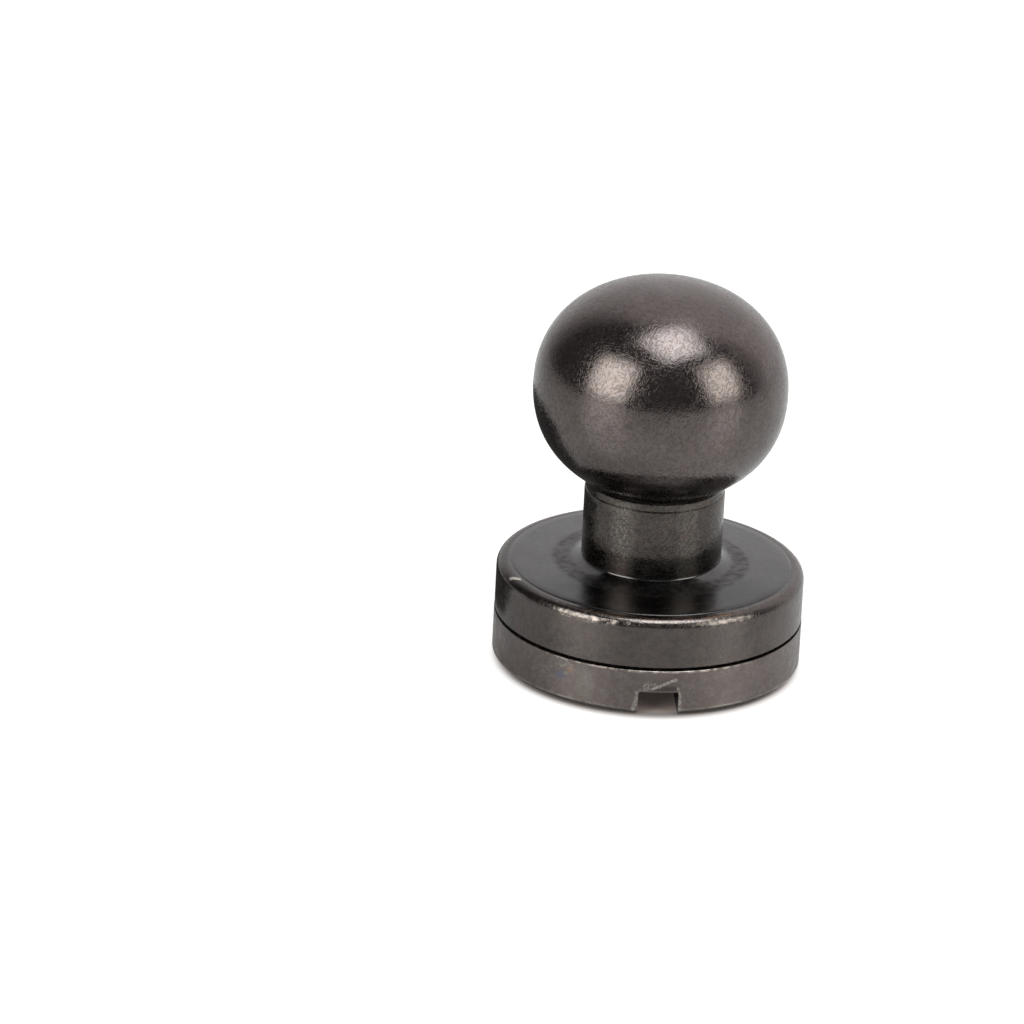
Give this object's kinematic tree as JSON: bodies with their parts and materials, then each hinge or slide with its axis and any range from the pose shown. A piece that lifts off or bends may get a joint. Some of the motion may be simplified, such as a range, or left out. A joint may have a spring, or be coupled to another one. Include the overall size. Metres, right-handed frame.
{
  "type": "ball head screw rivet",
  "caption": "Turned ball stud on a round flange, closed from below by a slotted round-head screw; a strap lies round its neck.",
  "frame": {"origin": "centre of the screw head's underside, which the part stands on", "axes": "+Z along the common axis, from the screw head up through the ball; +Y along the driver slot"},
  "size_m": [0.01, 0.01, 0.0129],
  "materials": {
    "stud_plating": "black nickel plating, satin, rubbed bright on the rim",
    "screw_plating": "black nickel plating, satin, lightly brushed"
  },
  "bodies": {
    "screw": {"back_screw": "screw_plating"},
    "stud": {"ball_stud": "stud_plating"}
  },
  "joints": [
    {"name": "unscrew", "type": "slide", "parent": "screw", "child": "stud", "axis": [0, 0, 1], "range_m": [0, 0.0072]}
  ]
}
